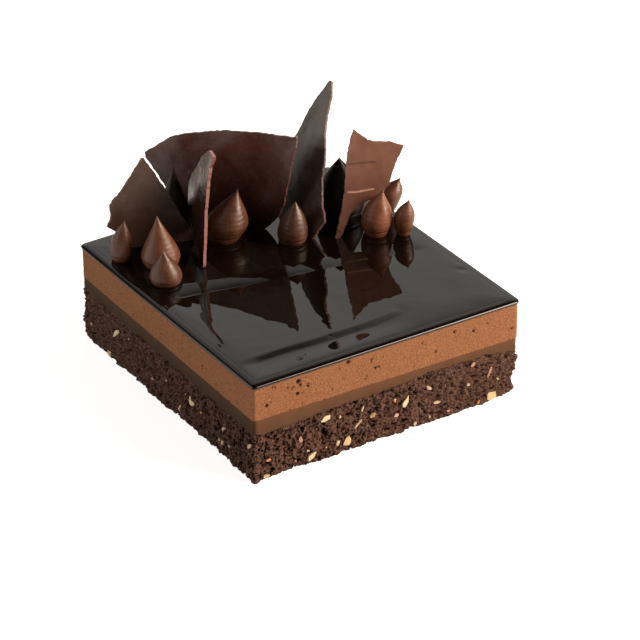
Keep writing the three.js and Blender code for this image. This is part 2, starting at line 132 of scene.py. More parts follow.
def mousse_foot(edge):
    """Height of the mousse's underside, a plane that tilts a little."""
    return MOUSSE_FOOT + MOUSSE_FOOT_SLOPE[0] * edge.x + MOUSSE_FOOT_SLOPE[1] * edge.y


def brownie_top(edge):
    """Height of the brownie's top line: the mousse's underside, less the cremeux's thickness drawn
    straight between CREMEUX_AT_SIDES, plus ragged noise of two sizes."""
    thickness = np.zeros(len(edge.x))
    for k, steps in enumerate(CREMEUX_AT_SIDES):
        here = edge.side == k
        thickness[here] = np.interp(edge.share[here], np.linspace(0, 1, len(steps)), steps)
    jumps = RAGGED_TOP * noise(edge.x / CRUMB_SIZE, edge.y / CRUMB_SIZE, 40)
    fine = 0.5 * RAGGED_TOP * noise(edge.x / GRAIN_SIZES[0], edge.y / GRAIN_SIZES[0], 41)
    return mousse_foot(edge) - thickness + jumps + fine


def pores(edge, z, cell, largest, seed):
    """How deep in a torn pore each point is, from 0 outside to 1 in its middle. Every square cell of
    the unrolled side has one pore at a random place, of random radius, drawn out sideways or upwards;
    the cells wrap round the cake and noise bends the pores' rims."""
    around = round(edge.length / cell)
    bend = [0.4 * cell * noise(edge.x / 1.2 + seed, edge.y / 1.2, z / 1.2 + k) for k in (0, 9)]
    u = (edge.run + bend[0]) / edge.length * around
    v = (z + bend[1]) / cell
    deepest = np.zeros(np.broadcast_shapes(u.shape, v.shape))
    for a, b in np.ndindex(3, 3):
        i, j = np.floor(u) + a - 1, np.floor(v) + b - 1
        draw = [scatter(np.mod(i, around), j, seed + k) for k in range(4)]
        radius = largest * (0.25 + 0.75 * draw[2] ** 2)
        drawn_out = 0.5 + 1.5 * draw[3]
        away = np.hypot((u - i - draw[0]) / drawn_out, (v - j - draw[1]) * drawn_out) * cell
        deepest = np.maximum(deepest, 1 - away / radius)
    return deepest


def crumb_relief(edge, z, top):
    """How far the brownie's side stands out of the cut outline: lumps of two sizes, a bulge that grows
    towards the foot in mid side, corners worn back by the cube of the height, and a rubbed lower edge."""
    lumps = CRAG_DEPTH * noise(edge.x / CRAG_SIZE + 3, edge.y / CRAG_SIZE, z / CRAG_SIZE)
    lumps = lumps + CRUMB_DEPTH * noise(edge.x / CRUMB_SIZE + 9, edge.y / CRUMB_SIZE, z / CRUMB_SIZE)
    low = 1 - z / top
    bulge = FOOT_BULGE * np.sqrt(np.sin(math.pi * edge.share)) * low
    signs = np.array([[-1, -1], [1, -1], [1, 1], [-1, 1]]) / 2
    away = [np.hypot(edge.x - a * WIDTH, edge.y - b * DEPTH) for a, b in signs]
    wear = sum(deep * np.clip(1 - d / WORN_REACH, 0, 1) for deep, d in zip(WORN_CORNERS, away))
    rubbed = FOOT_ROUND * np.clip(1 - z / FOOT_ROUND_HEIGHT, 0, 1) ** 2
    return lumps + bulge - wear * low ** 3 - rubbed - CRUMB_DEPTH / 2


def torn_grain(edge, z):
    """Crumb finer than the solids': two sizes of noise, sharpened so that it stands up in small knobs."""
    grains = [(depth, noise(edge.x / size, edge.y / size + 5, z / size))
              for size, depth in zip(GRAIN_SIZES, GRAIN_DEPTHS)]
    return sum(depth * np.sign(n) * np.abs(n) ** 0.7 for depth, n in grains)


def mesh_piece(name, points, face_groups):
    """Puts points in mm and groups of faces, each an array (faces, corners), into a new smooth mesh."""
    mesh = bpy.data.meshes.new(name)
    mesh.from_pydata((points * MM).tolist(), [], [face for group in face_groups for face in group.tolist()])
    mesh.shade_smooth()
    piece = bpy.data.objects.new(name, mesh)
    bpy.context.scene.collection.objects.link(piece)
    return piece


def ring_stack(name, rings):
    """A closed surface through rings of equal length, lowest first, as an array (rows, points, 3). Each
    end is closed by a fan to that ring's middle."""
    rows, count = rings.shape[:2]
    points = np.concatenate([rings.reshape(-1, 3), rings[[0, -1]].mean(1)])
    row, i = np.mgrid[0:rows - 1, 0:count]
    n = (i + 1) % count
    walls = np.stack([row * count + i, row * count + n, (row + 1) * count + n, (row + 1) * count + i], -1)
    i, n, last = i[0], n[0], (rows - 1) * count
    foot = np.stack([np.full(count, rows * count), n, i], -1)
    head = np.stack([np.full(count, rows * count + 1), last + i, last + n], -1)
    return mesh_piece(name, points, [walls.reshape(-1, 4), foot, head])


def store(piece, name, values):
    """Keeps one number per point under `name` for the material; the two end points get 0."""
    padded = np.concatenate([values.ravel(), np.zeros(len(piece.data.vertices) - values.size)])
    piece.data.attributes.new(name, "FLOAT", "POINT").data.foreach_set("value", padded.astype(np.float32))


def srgb(colour):
    """An sRGB hex colour as linear red, green, blue and alpha."""
    parts = np.array([int(colour[i:i + 2], 16) for i in (1, 3, 5)]) / 255
    linear = np.where(parts <= 0.04045, parts / 12.92, ((parts + 0.055) / 1.055) ** 2.4)
    return (*linear.tolist(), 1.0)


def add(tree, kind, settings=(), links=()):
    """Adds a node to a tree. Settings are its properties or its sockets' values, links feed its sockets."""
    node = tree.nodes.new(kind)
    for key, value in dict(settings).items():
        if isinstance(key, str) and hasattr(node, key):
            setattr(node, key, value)
        else:
            node.inputs[key].default_value = value
    for key, source in dict(links).items():
        tree.links.new(source, node.inputs[key])
    return node


def pattern(tree, where, size, detail):
    """A noise pattern with lumps of about `size` mm, from 0 to 1."""
    settings = {"Scale": 1 / (size * MM), "Detail": detail}
    return add(tree, "ShaderNodeTexNoise", settings, {"Vector": where}).outputs[0]


def stored(tree, name):
    """The numbers that store() kept under `name`."""
    return add(tree, "ShaderNodeAttribute", {"attribute_name": name}).outputs["Fac"]


def ranged(tree, value, low, high, start=0.0, end=1.0):
    """Maps a value from low..high to start..end, and holds it at both ends."""
    limits = {"From Min": low, "From Max": high, "To Min": start, "To Max": end}
    return add(tree, "ShaderNodeMapRange", limits, {"Value": value}).outputs[0]


def blend(tree, share, low, high):
    """Blends two colours, each an sRGB hex or another node's output: low where share is 0, high at 1."""
    node = add(tree, "ShaderNodeMix", {"data_type": "RGBA"}, {0: share})
    for socket, colour in ((6, low), (7, high)):
        if isinstance(colour, str):
            node.inputs[socket].default_value = srgb(colour)
        else:
            tree.links.new(colour, node.inputs[socket])
    return node.outputs[2]


def bumps(tree, height, strength, depth):
    """Lets a pattern stand up by `depth` mm at full strength."""
    settings = {"Strength": strength, "Distance": depth * MM}
    return add(tree, "ShaderNodeBump", settings, {"Height": height}).outputs[0]


def feed(tree, shader, sources):
    """Links each named socket of the shader to its source."""
    for socket, source in sources.items():
        tree.links.new(source, shader.inputs[socket])


def start_finish(name, uniform):
    """A new material, its tree and its shader, with the values that are the same all over the surface."""
    material = bpy.data.materials.new(name)
    material.use_nodes = True
    shader = material.node_tree.nodes["Principled BSDF"]
    for socket, value in uniform.items():
        shader.inputs[socket].default_value = value
    return material, material.node_tree, shader


def dress(piece, material, slot, *nodes):
    """Gives a finished piece its material and its body, and hides the solids that it stands for. slot is not
    used.
    """
    piece.data.materials.append(material)
    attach(piece, "root")
    if nodes:
        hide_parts(*nodes)


def brownie_finish():
    """Baked cocoa crumb: a dull, porous brown with a moist glint here and there, and painted shade that takes
    it nearly to black in its pores. Its pattern sizes are the lumps' 4 mm, the crumb's 0.9 mm and the grain's
    0.45 mm."""
    material, tree, shader = start_finish("baked_cocoa_crumb", {"IOR": 1.45, "Specular IOR Level": 0.12})
    where = add(tree, "ShaderNodeTexCoord").outputs["Object"]
    crumb = pattern(tree, where, 0.9, 4.0)
    grain = pattern(tree, where, 0.45, 2.0)
    warm = ranged(tree, pattern(tree, where, 4, 3.0), 0.35, 0.65)
    body = blend(tree, warm, "#301f18", "#3e281e")
    speckled = blend(tree, ranged(tree, crumb, 0.38, 0.66), body, "#644a40")
    # Painted shade: the deeper in a pore, the nearer the colour is to black.
    feed(tree, shader, {"Base Color": blend(tree, stored(tree, "hollow"), speckled, "#0f0301"),
                        "Roughness": ranged(tree, grain, 0.55, 0.72, 0.85, 0.35),
                        "Normal": bumps(tree, crumb, 0.8, 0.25)})
    return material


CREMEUX_INSET = 0.15                     # the cremeux's cut stands this far behind the mousse's
CUT_WAVE = 0.2                           # and wanders this far


def cut_line(edge):
    """How far out the cut side of the cremeux lies, a slow wave a little behind the outline."""
    return CUT_WAVE * noise(edge.x / CRAG_SIZE, edge.y / CRAG_SIZE, 12) - CREMEUX_INSET


fine_edge = cut_outline(FINE_STEP)
base_top = brownie_top(fine_edge)
rows = np.linspace(0, 1, math.ceil(base_top.max() / FINE_STEP))[:, None]
heights = rows * base_top
hollows = [np.clip(PORE_WALL * pores(fine_edge, heights, cell, largest, seed), 0, 1)
           for cell, largest, depth, seed in PORES]
side = crumb_relief(fine_edge, heights, base_top) + torn_grain(fine_edge, heights)
side = side - sum(pore[2] * hollow for pore, hollow in zip(PORES, hollows))
side_rings = stretched(fine_edge, side, heights)
tucked_ring = stretched(fine_edge, cut_line(fine_edge) - TUCK, base_top)
rim_ring = stretched(fine_edge, -RIM_WIDTH, mousse_foot(fine_edge) - CREMEUX_MIDDLE)
brownie = ring_stack("nut_brownie", np.concatenate([side_rings, tucked_ring[None], rim_ring[None]]))
# The pores' painted shade, kept per point for the crumb's colour.
store(brownie, "hollow", np.clip(PORE_SHADING * sum(hollows) - PORE_SHADE_START, 0, 1))
dress(brownie, brownie_finish(), "brownie", "brownie_base")

# ---------------------------------------------------------------- chopped nuts
# Roasted nuts were stirred into the batter as broken chips. The knife sliced
# them flush with the crumb, so each shows one flat, pale face.

NUT_PROUD, NUT_THICKNESS = 0.5, 2.4
SLICED_AT = 0.3                          # a chip's outward side is cut flat this far from its middle
IVORY, CREAM, PALE = "#d8c9a8", "#cdb384", "#bfa78c"
ROAST, PINK, GREEN = "#b9793c", "#a97a68", "#a39a62"

# Nuts on the front face: x, height, length, width, tilt in degrees, colour.
FRONT_NUTS = (
    (-35.4, 22.3, 6, 2.8, 10, IVORY), (-69, 2.4, 3.6, 2.3, 8, PALE), (-67.8, 10.2, 2.6, 1.9, 0, ROAST),
    (-49.4, 15.9, 3, 2.2, 80, PINK), (-43.8, 4.6, 5.4, 3, 35, IVORY), (-29.1, 6.6, 3, 2.4, 75, CREAM),
    (-24, 6, 5.6, 4, 62, CREAM), (-17.8, 13.4, 5, 1.7, 45, PALE), (-14.4, 20.4, 3, 1.4, 80, PALE),
    (-8.9, 15.5, 2.5, 2, 60, PINK), (3.8, 10.8, 2.8, 2.2, 35, PALE), (8.7, 17.4, 5.8, 3, 62, IVORY),
    (28, 10.2, 4, 1.5, -6, PALE), (23, 20, 3.3, 1.9, -50, PALE), (49, 24.6, 3.2, 2, 10, PINK),
    (45.6, 14.4, 2, 1.5, 0, PALE), (58, 17.8, 5.2, 1.8, 65, PINK), (59.4, 4.6, 6.4, 4.8, 18, CREAM),
    (13.8, 3.4, 2.2, 1.8, 20, PALE), (-10.2, 15.6, 2.6, 2.2, 70, GREEN),
)

# Nuts on the left face: y, height, length, width, tilt in degrees, colour.
LEFT_NUTS = (
    (46, 18.2, 8, 2.5, 47, IVORY), (54, 3.6, 4.4, 3, 57, CREAM), (-24, 15, 5, 4.4, 30, IVORY),
    (-15.1, 7.8, 6.3, 1.6, 54, PALE), (-55.5, 16.2, 3.2, 1.5, 60, PALE), (-54.4, 8, 3.4, 1.5, 65, PALE),
    (-78.5, 18.8, 4.4, 1.8, 54, PALE), (10, 11, 2.4, 1.8, 20, PINK), (70, 12, 2.2, 1.7, 40, PINK),
)
HIDDEN_NUTS = 11                         # on each of the two sides at the back
SPECKS = 34                              # crumbs of nut all round the cake
CHIP_FACES = 7                           # broken faces of one chip


def nut_places():
    """Every nut as side, distance passed along it, height, length, width, tilt, and its colours in a
    list: those that are seen, then seeded draws for the back sides and for the specks all round."""
    draws = np.random.default_rng(7)
    seen = [(0, x + WIDTH / 2, *rest) for x, *rest in FRONT_NUTS]
    seen += [(3, DEPTH / 2 - y, *rest) for y, *rest in LEFT_NUTS]
    places = [nut[:6] for nut in seen]
    colours = [nut[6] for nut in seen]
    for k in (1, 2):
        reach = (DEPTH, WIDTH)[k - 1]
        for passed in (np.arange(HIDDEN_NUTS) + draws.uniform(0.3, 0.7, HIDDEN_NUTS)) * reach / HIDDEN_NUTS:
            length = draws.uniform(1.8, 5.2)
            places.append((k, passed, draws.uniform(4, 20), length, length * draws.uniform(0.4, 0.75),
                           draws.uniform(0, 150)))
            colours.append(draws.choice([IVORY, CREAM, PALE, PINK]))
    for _ in range(SPECKS):
        k = draws.integers(4)
        size = draws.uniform(0.7, 1.4)
        passed = draws.uniform(4, (WIDTH, DEPTH)[k % 2] - 4)
        places.append((k, passed, draws.uniform(2, 21), size * 1.5, size, draws.uniform(0, 180)))
        colours.append(draws.choice([CREAM, PALE, PALE, PINK, ROAST]))
    return np.array(places), colours


def chip_surfaces(count, around=24, up=12):
    """One closed chip per nut, in units of its half sizes, as an array (nuts, up, around, 3). A chip is
    what is left inside CHIP_FACES random planes: along each direction of a sphere, the nearest plane's
    distance over the cosine to it."""
    draws = np.random.default_rng(11)
    tips, turns = np.linspace(0, math.pi, up), np.linspace(0, 2 * math.pi, around, endpoint=False)
    tip, turn = np.meshgrid(tips, turns, indexing="ij")
    ray = np.stack([np.sin(tip) * np.cos(turn), np.sin(tip) * np.sin(turn), np.cos(tip)], -1)
    normal = draws.normal(size=(count, CHIP_FACES, 3))
    normal /= np.linalg.norm(normal, axis=-1, keepdims=True)
    cosine = np.einsum("uac,nfc->nuaf", ray, normal)
    distance = draws.uniform(0.55, 1.0, (count, 1, 1, CHIP_FACES))
    reach = np.min(distance / np.maximum(cosine, 0.05), -1)
    return ray * np.minimum(reach, 1.15)[..., None]


def nut_meshes(places):
    """Sets every chip in the side: its length along the side turned by its tilt, its outward side sliced
    flat, a little proud of the crumb there."""
    edge = cut_outline(1.0)
    top = brownie_top(edge)
    index = [np.flatnonzero(edge.side == k)[np.argmin(np.abs(
        edge.share[edge.side == k] * (DEPTH if k % 2 else WIDTH) - passed))] for k, passed in places[:, :2]]
    here = SimpleNamespace(x=edge.x[index], y=edge.y[index], side=edge.side[index], share=edge.share[index])
    height, length, width, tilt = places[:, 2], places[:, 3], places[:, 4], np.radians(places[:, 5])
    proud = crumb_relief(here, height, top[index]) + NUT_PROUD
    centre = stretched(here, proud, height)
    along = np.array([[1, 0, 0], [0, 1, 0], [-1, 0, 0], [0, -1, 0]])[here.side]
    out = np.array([[0, -1, 0], [1, 0, 0], [0, 1, 0], [-1, 0, 0]])[here.side]
    up = np.array([0, 0, 1])
    lengthwise = along * np.cos(tilt)[:, None] + up * np.sin(tilt)[:, None]
    across = up * np.cos(tilt)[:, None] - along * np.sin(tilt)[:, None]
    half = chip_surfaces(len(places))
    deep = np.minimum(half[..., 2:] * NUT_THICKNESS / 2, SLICED_AT) - SLICED_AT
    reaches = (centre, lengthwise * length[:, None] / 2, across * width[:, None] / 2, out)
    middle, longer, wider, outward = [reach[:, None, None, :] for reach in reaches]
    return middle + longer * half[..., :1] + wider * half[..., 1:2] + outward * deep


def nut_finish():
    """Roasted nut: waxy and pale with a soft glow, each chip its own colour, mottled at 0.8 mm."""
    material, tree, shader = start_finish("roasted_nut", {
        "Roughness": 0.5, "IOR": 1.46, "Subsurface Weight": 0.15, "Subsurface Scale": 0.6 * MM})
    where = add(tree, "ShaderNodeTexCoord").outputs["Object"]
    own = add(tree, "ShaderNodeAttribute", {"attribute_name": "nut_colour"}).outputs["Color"]
    mottle = ranged(tree, pattern(tree, where, 0.8, 3.0), 0.3, 0.7, 0.0, 0.45)
    feed(tree, shader, {"Base Color": blend(tree, mottle, own, "#8a6a48")})
    return material


places, nut_colours = nut_places()
chips = nut_meshes(places)
count, up, around = chips.shape[:3]
chip, row, i = np.mgrid[0:count, 0:up - 1, 0:around]
first = chip * up * around
quads = np.stack([first + row * around + i, first + (row + 1) * around + i,
                  first + (row + 1) * around + (i + 1) % around, first + row * around + (i + 1) % around], -1)
nuts = mesh_piece("chopped_nuts", chips.reshape(-1, 3), [quads.reshape(-1, 4)])
tints = np.repeat([srgb(colour) for colour in nut_colours], up * around, 0)
nuts.data.attributes.new("nut_colour", "FLOAT_COLOR", "POINT").data.foreach_set("color", tints.ravel())
nuts.data.validate()
nuts.data.set_sharp_from_angle(angle=math.radians(28))
dress(nuts, nut_finish(), "brownie")

# ---------------------------------------------------------------- cremeux layer
# A soft dark chocolate cremeux, poured on the brownie and set cold. The knife
# left its side smooth, with faint marks where it dragged along.

DRAG_LENGTH, DRAG_HEIGHT, DRAG_DEPTH = 9.0, 0.9, 0.07
FOOT_SHADE_HEIGHT, UNSHADED_HEIGHT = 27.0, 37.0   # where its painted shade towards the foot is deepest and where it ends, clouds added
CLOUD_LIFT = 6.0
SHADED_SIDE_REACH = 3.0                          # how far round the corner the painted shade of the left side reaches
CREMEUX_ROWS = 14


def cremeux_finish():
    """Set cremeux: dense and faintly satin, darker and greyer towards its foot with clouds at 7 mm as painted
    shade, and with fine drag marks along the cut. The left side is darker too: painted shade on the side that
    faces away from the soft box."""
    material, tree, shader = start_finish("set_cremeux", {
        "Roughness": 0.6, "IOR": 1.45, "Specular IOR Level": 0.12})
    where = add(tree, "ShaderNodeTexCoord").outputs["Object"]
    axes = add(tree, "ShaderNodeSeparateXYZ", (), {0: where})
    # Painted shade: the colour darkens towards the foot, its line broken by clouds.
    clouded = add(tree, "ShaderNodeMath", {"operation": "MULTIPLY_ADD", 1: CLOUD_LIFT * MM},
                  {0: pattern(tree, where, 7, 3.0), 2: axes.outputs[2]})
    height = ranged(tree, clouded.outputs[0], FOOT_SHADE_HEIGHT * MM, UNSHADED_HEIGHT * MM)
    # Painted shade: the left side, turned away from the soft box, is darker.
    left = ranged(tree, axes.outputs[0], (SHADED_SIDE_REACH - WIDTH / 2) * MM, -WIDTH / 2 * MM)
    lit_side_colour = blend(tree, height, "#4b3525", "#5d3e28")
    shaded_side_colour = blend(tree, height, "#2d1e0a", "#3f2915")
    flat = add(tree, "ShaderNodeMapping", {"Scale": (0.25, 0.25, 1.6)}, {"Vector": where})
    drag = pattern(tree, flat.outputs[0], 1.1, 3.0)
    feed(tree, shader, {"Base Color": blend(tree, left, lit_side_colour, shaded_side_colour), "Normal": bumps(tree, drag, 0.5, 0.08)})
    return material


share = np.linspace(0, 1, CREMEUX_ROWS)[:, None]
heights = base_top * (1 - share) + mousse_foot(fine_edge) * share
drag = DRAG_DEPTH * noise(fine_edge.x / DRAG_LENGTH, fine_edge.y / DRAG_LENGTH, heights / DRAG_HEIGHT)
inner_ring = stretched(fine_edge, -RIM_WIDTH, mousse_foot(fine_edge) - CREMEUX_MIDDLE)
cremeux = ring_stack("cremeux", np.concatenate(
    [inner_ring[None], stretched(fine_edge, cut_line(fine_edge) + drag, heights)]))
dress(cremeux, cremeux_finish(), "cremeux", "cremeux_layer")

# ---------------------------------------------------------------- mousse layer
# Milk chocolate mousse, whipped and set cold on the cremeux. Cutting opened its
# air bubbles as small round pits, and the blade left a fine slanted nap.

MOUSSE_TOP = 50.6
MOUSSE_WAVE, MOUSSE_WAVELENGTH = 0.2, 20.0
NAP_DEPTH, NAP_SIZE = 0.05, 0.9

# Air pits that show on the front face: x, height, radius.
FRONT_PITS = (
    (-51.5, 47.5, 1.5), (-50.4, 45.2, 0.8), (-52, 41, 1.1), (-69, 40, 1.0), (-23.6, 49, 1.2), (-8, 41, 0.9),
    (-6, 41, 0.7), (26.8, 39, 0.8), (37.7, 46.5, 1.0), (48.9, 43.5, 1.0), (71.7, 38, 0.9), (19, 46, 0.7),
)
SMALL_PITS = (4.6, 0.5, 51)             # cell, largest radius, seed
PIT_WALL, PIT_DEPTH = 2.4, 0.7           # how steeply a pit falls in, and how deep
MOUSSE_ROWS = 36


def mousse_pits(edge, z):
    """How deep in an air pit each point is, 0 to 1: round hollows at FRONT_PITS and small ones all over."""
    cell, largest, seed = SMALL_PITS
    deepest = pores(edge, z, cell, largest, seed)
    for x, height, radius in FRONT_PITS:
        away = np.where(edge.side == 0, np.hypot(edge.x - x, z - height), 99)
        deepest = np.maximum(deepest, 1 - away / radius)
    return np.clip(PIT_WALL * deepest, 0, 1)


def mousse_finish():
    """Whipped milk chocolate: a dull fine foam, warm brown, grained at 0.8 mm and clouded at 9 mm, with
    painted shade that darkens its air pits.
    """
    material, tree, shader = start_finish("whipped_milk_chocolate", {
        "Roughness": 0.8, "IOR": 1.4, "Specular IOR Level": 0.15})
    where = add(tree, "ShaderNodeTexCoord").outputs["Object"]
    foam = pattern(tree, where, 0.8, 3.0)
    tone = blend(tree, pattern(tree, where, 9, 2.0), "#6f4730", "#7e5237")
    foamed = blend(tree, ranged(tree, foam, 0.42, 0.7, 0.0, 0.7), tone, "#9a714e")
    # Painted shade: the air pits go near black the deeper they are.
    feed(tree, shader, {"Base Color": blend(tree, stored(tree, "pit"), foamed, "#1f0805"),
                        "Normal": bumps(tree, foam, 0.9, 0.16)})
    return material


share = np.linspace(0, 1, MOUSSE_ROWS)[:, None]
heights = mousse_foot(fine_edge) * (1 - share) + MOUSSE_TOP * share
pits = mousse_pits(fine_edge, heights)
wave = MOUSSE_WAVE * noise(*(v / MOUSSE_WAVELENGTH for v in (fine_edge.x, fine_edge.y, heights)))
nap = NAP_DEPTH * noise(fine_edge.run / NAP_SIZE, heights / NAP_SIZE - fine_edge.run / NAP_SIZE, 3)
mousse = ring_stack("mousse", stretched(fine_edge, wave + nap - PIT_DEPTH * pits, heights))
# The pits' depth, kept per point for their painted shade.
store(mousse, "pit", pits)
dress(mousse, mousse_finish(), "mousse", "mousse_layer")

# ---------------------------------------------------------------- mirror glaze
# A cocoa and gelatine glaze, poured warm over the cold cake. It ran nearly
# level, set to a mirror and hangs over the sides in a thin rounded lip.

GLAZE_THICKNESS = 2.2
GLAZE_TOP = MOUSSE_TOP + GLAZE_THICKNESS
LIP = (                                  # its section: how far out, and the share of the thickness
    (-0.7, 0.0), (0.1, 0.0), (0.55, 0.25), (0.5, 0.52), (0.0, 0.77), (-1.1, 0.93), (-2.4, 1.0), (-3.4, 1.0),
)
LIP_ROWS = 18
TOP_ROWS, GLAZE_STEP = 105, 1.05

SWELLS = ((0.13, 30.0, 2), (0.05, 12.0, 6), (0.012, 4.0, 9))   # height, length, seed
CROWN, CROWN_REACH = 0.45, 14.0          # how much lower the rim lies, and how far in it bends down

# Where the pour folded over itself: a low step down towards the viewer, just in
# front of the decor, that fades out to the right. Along the front edge it
# sagged in a second step, which ends to the right too.
FOLD_AT, FOLD_RUN = 6.5, -0.19           # its y at the middle, and its drift with x
FOLD_WAVER, SAG_WAVER = (0.8, 9.0), (1.5, 25.0)   # how far each step's line wanders, and its wavelength
FOLD_WIDTH, FOLD_TAIL = 9.5, 25.0        # of the step, and of the slow rise in front of it
FOLD_SLOPES = (0.08, 0.19)               # where the step begins and where it ends
FOLD_FADE = (-15.0, 25.0, 0.65)          # from which x to which, and how much of it goes
SAG_AT, SAG_WIDTH, SAG_SLOPE = 22.0, 4.2, 0.18   # measured from the front edge
SAG_END, SAG_FADE = 34.0, 45.0           # the x where it ends, and how long it takes to grow
LEVEL_RIM = 13.0                         # both steps die away this near to the lip
DENTS = (                                # x, y, width, depth
    (69.0, -43.0, 2.6, 0.3), (-43.8, -72.1, 1.0, 0.3), (-20.8, -62.5, 0.8, 0.2), (22.0, -60.0, 2.5, 0.1),
)


def lip_curve(count):
    """The lip's section as out and share of thickness: a quadratic B-spline through LIP's midpoints."""
    points = np.array(LIP)
    points = np.concatenate([2 * points[:1] - points[1:2], points, 2 * points[-1:] - points[-2:-1]])
    t = np.linspace(0, len(points) - 2.001, count)
    i = t.astype(int)
    f = (t - i)[:, None]
    return (points[i] * (1 - f) ** 2 + points[i + 1] * (1 + 2 * f - 2 * f ** 2) + points[i + 2] * f ** 2) / 2


def eased(share):
    """A smooth step from 0 to 1 as share goes from 0 to 1."""
    share = np.clip(share, 0, 1)
    return share * share * (3 - 2 * share)


def glaze_swell(x, y):
    """Height of the glaze's top above its rim: the rim bends down to the lip as a parabola, and slow
    swells, the fold in the pour, the sag along the front edge and a few small dents fade out there."""
    edge_near = np.minimum(WIDTH / 2 - np.abs(x), DEPTH / 2 - np.abs(y)) + LIP[-1][0]
    slow = sum(high * noise(x / size, y / size, seed) for high, size, seed in SWELLS)
    ahead = FOLD_AT + FOLD_RUN * x + FOLD_WAVER[0] * noise(x / FOLD_WAVER[1], 0 * y, 4) - y
    down = np.clip(ahead, 0, FOLD_WIDTH)
    start, end = FOLD_SLOPES
    step = start * down + (end - start) * down ** 2 / (2 * FOLD_WIDTH)
    fade_from, fade_to, faded = FOLD_FADE
    fold = -step * (1 - faded * eased((x - fade_from) / (fade_to - fade_from)))
    fold = fold * np.exp(-np.maximum(ahead - FOLD_WIDTH, 0) / FOLD_TAIL)
    front = y + DEPTH / 2 + SAG_WAVER[0] * noise(x / SAG_WAVER[1], 0 * y, 8)
    sag = -SAG_SLOPE * np.clip(SAG_AT - front, 0, SAG_WIDTH) * eased((SAG_END - x) / SAG_FADE)
    dents = sum(-deep * np.exp(-((x - a) ** 2 + (y - b) ** 2) / wide ** 2) for a, b, wide, deep in DENTS)
    crown = CROWN * (1 - np.clip(1 - edge_near / CROWN_REACH, 0, 1) ** 2)
    steps = eased(edge_near / LEVEL_RIM) * (fold + sag)
    return crown + eased(edge_near / 4) * slow + steps + eased(edge_near / 2) * dents


def glaze_finish():
    """Set gelatine glaze: nearly black, mirror smooth, with a deep reddish brown body."""
    uniform = {"Base Color": srgb("#0c0604"), "Roughness": 0.02, "IOR": 1.47}
    return start_finish("set_cocoa_glaze", uniform)[0]


glaze_edge = cut_outline(GLAZE_STEP)
lip = lip_curve(LIP_ROWS)
lip_rings = stretched(glaze_edge, lip[:, :1], MOUSSE_TOP + GLAZE_THICKNESS * lip[:, 1:])
inward = (np.linspace(0, 1, TOP_ROWS, endpoint=False)[1:] ** 1.3)[:, None]
x, y = (lip_rings[-1, :, k] * (1 - inward) for k in (0, 1))
top_rings = np.stack([x, y, GLAZE_TOP + glaze_swell(x, y)], -1)
glaze = ring_stack("mirror_glaze_coat", np.concatenate([lip_rings, top_rings]))
dress(glaze, glaze_finish(), "glaze", "mirror_glaze")

# ---------------------------------------------------------------- piped kisses
# Ganache kisses, piped straight onto the set glaze with a plain round nozzle.
# Each one spread at its foot, narrowed as the bag was lifted, and ended in a
# point that leans the way the bag was drawn off.

# Kisses: x, y, radius, height, the widest ring's share of that height, how square
# the shoulder above it is, how hollow the tip is, how far the tip is pulled to
# the viewer's right, how late on the way up it bends there, and how dark it is
# painted: painted shade for the kisses that stand in the shade of the shards.
KISSES = (
    (-66.9, 56.8, 5.7, 21.9, 0.24, 2.2, 1.3, 2.0, 2.0, 0.5),
    (-52.6, 42.4, 9.9, 26.8, 0.17, 1.3, 1.2, -1.4, 2.0, 0.3),
    (-59.9, 24.8, 8.1, 18.0, 0.2, 1.8, 1.4, -1.2, 2.0, 0.5),
    (-30.0, 68.6, 8.9, 36.5, 0.16, 1.6, 1.3, 0.8, 2.0, 0.95),
    (-13.0, 47.9, 10.7, 28.1, 0.33, 1.6, 1.35, 7.4, 1.5, 0.5),
    (14.4, 27.0, 7.6, 22.5, 0.2, 2.2, 1.2, 1.8, 2.0, 0.65),
    (54.6, 11.4, 7.9, 25.3, 0.31, 2.2, 1.6, 3.4, 3.0, 0.0),
    (71.0, 26.1, 6.4, 20.9, 0.56, 2.0, 1.8, 6.9, 3.0, 0.4),
    (65.5, 3.2, 5.2, 20.0, 0.43, 2.6, 1.8, 2.8, 3.0, 0.3),
    (50.5, 38.6, 12.0, 32.3, 0.2, 2.2, 1.15, -0.5, 2.0, 1.0),
)
TIP_DIRECTION = (0.842, -0.54)
KISS_AROUND, KISS_UP = 84, 84
RIDGE_STEP, RIDGE_DEPTH = 2.3, 0.11      # mm from one turn of piped ganache to the next, and its groove
FOOT_LIP, FOOT_LIP_DEPTH = 0.13, 0.045   # a crease above the foot: share of the height, of the radius
KISS_DENTS, TIP_RADIUS = 0.035, 0.12     # a share of the radius, and mm at the very tip


def kiss_rings(x, y, radius, height, belly, shoulder, hollow, pull, bend, seed):
    """A kiss as rings from the foot up: the radius swells by a quarter sine from a foot that is the
    narrower the higher the widest ring lies, then rounds a shoulder and draws in to a hollow tip; the
    turns of piping cut slanted grooves, a crease rings the foot, and slow noise dents it all."""
    share = np.linspace(0, 1, KISS_UP)[:, None] ** 0.9
    turn = np.linspace(0, 2 * math.pi, KISS_AROUND, endpoint=False)
    swell = 1 - belly * (1 - np.sin(math.pi / 2 * np.minimum(share / belly, 1)))
    past = np.clip((share - belly) / (1 - belly), 0, 1)
    spread = swell * (1 - past ** shoulder) ** hollow
    sides = (np.cos(turn) * 1.3 + seed, np.sin(turn) * 1.3)
    phase = height * share / RIDGE_STEP + 0.5 * turn / math.pi + 0.5 * noise(*sides, share * 4)
    groove = (RIDGE_DEPTH * np.abs(np.sin(math.pi * phase)) ** 3 * np.minimum(spread, 0.5)
              * (1 + noise(*sides, share * 6 + 7)))
    crease = FOOT_LIP_DEPTH * np.exp(-((share - FOOT_LIP) / 0.022) ** 2)
    dented = 1 - crease + KISS_DENTS * noise(*sides, share * 3)
    wide = radius * spread * dented - groove + TIP_RADIUS * share
    aside = pull * share ** bend
    across = x + TIP_DIRECTION[0] * aside + wide * np.cos(turn)
    along = y + TIP_DIRECTION[1] * aside + wide * np.sin(turn)
    return np.stack(np.broadcast_arrays(across, along, GLAZE_TOP + height * share), -1)


